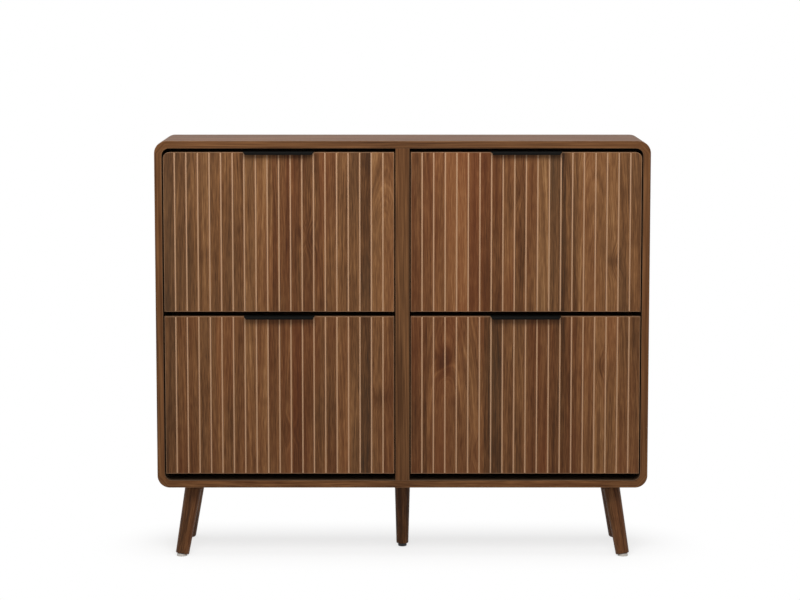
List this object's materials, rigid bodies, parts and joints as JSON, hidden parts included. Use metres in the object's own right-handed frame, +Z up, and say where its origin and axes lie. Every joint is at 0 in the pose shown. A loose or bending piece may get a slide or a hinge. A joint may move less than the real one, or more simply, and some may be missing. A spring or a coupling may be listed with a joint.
{
  "type": "shoe cabinet",
  "caption": "Narrow shoe cabinet on splayed legs, with grooved flip-down fronts, black edge pulls and tilting shoe racks in a round-cornered case.",
  "frame": {"origin": "centre of the object's bounding box, on the floor plane", "axes": "+Z up, -Y out of the fronts, +X to the right when facing the fronts"},
  "size_m": [1.2, 0.2524, 1.025],
  "materials": {
    "case_walnut": "satin walnut foil, grain along each board",
    "front_walnut": "satin walnut veneer, upright grain, paler routed grooves",
    "leg_walnut": "satin walnut stain on turned wood",
    "back_hardboard": "matt hardboard",
    "black_metal": "matt black powder coat",
    "zinc_steel": "zinc plated",
    "black_plastic": "matt moulded",
    "pale_plastic": "matt moulded"
  },
  "bodies": {
    "case": {"top_board": "case_walnut", "bottom_board": "case_walnut", "left_side_board": "case_walnut", "right_side_board": "case_walnut", "top_left_corner": "case_walnut", "top_right_corner": "case_walnut", "bottom_left_corner": "case_walnut", "bottom_right_corner": "case_walnut", "centre_partition": "case_walnut", "left_back_sheet": "back_hardboard", "right_back_sheet": "back_hardboard", "front_left_leg": "leg_walnut", "front_left_leg_plate": "black_metal", "front_left_glide": "pale_plastic", "front_right_leg": "leg_walnut", "front_right_leg_plate": "black_metal", "front_right_glide": "pale_plastic", "rear_left_leg": "leg_walnut", "rear_left_leg_plate": "black_metal", "rear_left_glide": "pale_plastic", "rear_right_leg": "leg_walnut", "rear_right_leg_plate": "black_metal", "rear_right_glide": "pale_plastic", "centre_leg": "leg_walnut", "centre_leg_plate": "black_metal", "upper_left_left_pivot": "black_metal", "upper_left_right_pivot": "black_metal", "upper_right_left_pivot": "black_metal", "upper_right_right_pivot": "black_metal", "lower_left_left_pivot": "black_metal", "lower_left_right_pivot": "black_metal", "lower_right_left_pivot": "black_metal", "lower_right_right_pivot": "black_metal"},
    "upper_left_drawer": {"upper_left_front": "front_walnut", "upper_left_handle": "black_metal", "upper_left_left_cheek": "black_plastic", "upper_left_right_cheek": "black_plastic", "upper_left_front_tray": "black_plastic", "upper_left_rear_tray": "black_plastic"},
    "upper_right_drawer": {"upper_right_front": "front_walnut", "upper_right_handle": "black_metal", "upper_right_left_cheek": "black_plastic", "upper_right_right_cheek": "black_plastic", "upper_right_front_tray": "black_plastic", "upper_right_rear_tray": "black_plastic"},
    "lower_left_drawer": {"lower_left_front": "front_walnut", "lower_left_handle": "black_metal", "lower_left_left_cheek": "black_plastic", "lower_left_right_cheek": "black_plastic", "lower_left_front_tray": "black_plastic", "lower_left_rear_tray": "black_plastic"},
    "lower_right_drawer": {"lower_right_front": "front_walnut", "lower_right_handle": "black_metal", "lower_right_left_cheek": "black_plastic", "lower_right_right_cheek": "black_plastic", "lower_right_front_tray": "black_plastic", "lower_right_rear_tray": "black_plastic"},
    "levelling_foot": {"levelling_foot": "black_plastic"}
  },
  "joints": [
    {"name": "upper_left_flip", "type": "hinge", "parent": "case", "child": "upper_left_drawer", "pos_m": [-0.2995, -0.08725, 0.6472], "axis": [1, 0, 0], "range_deg": [0, 50]},
    {"name": "upper_right_flip", "type": "hinge", "parent": "case", "child": "upper_right_drawer", "pos_m": [0.2995, -0.08725, 0.6472], "axis": [1, 0, 0], "range_deg": [0, 50]},
    {"name": "lower_left_flip", "type": "hinge", "parent": "case", "child": "lower_left_drawer", "pos_m": [-0.2995, -0.08725, 0.2468], "axis": [1, 0, 0], "range_deg": [0, 50]},
    {"name": "lower_right_flip", "type": "hinge", "parent": "case", "child": "lower_right_drawer", "pos_m": [0.2995, -0.08725, 0.2468], "axis": [1, 0, 0], "range_deg": [0, 50]},
    {"name": "levelling_screw", "type": "slide", "parent": "case", "child": "levelling_foot", "axis": [0, 0, 1], "range_m": [-0.01, 0]}
  ]
}
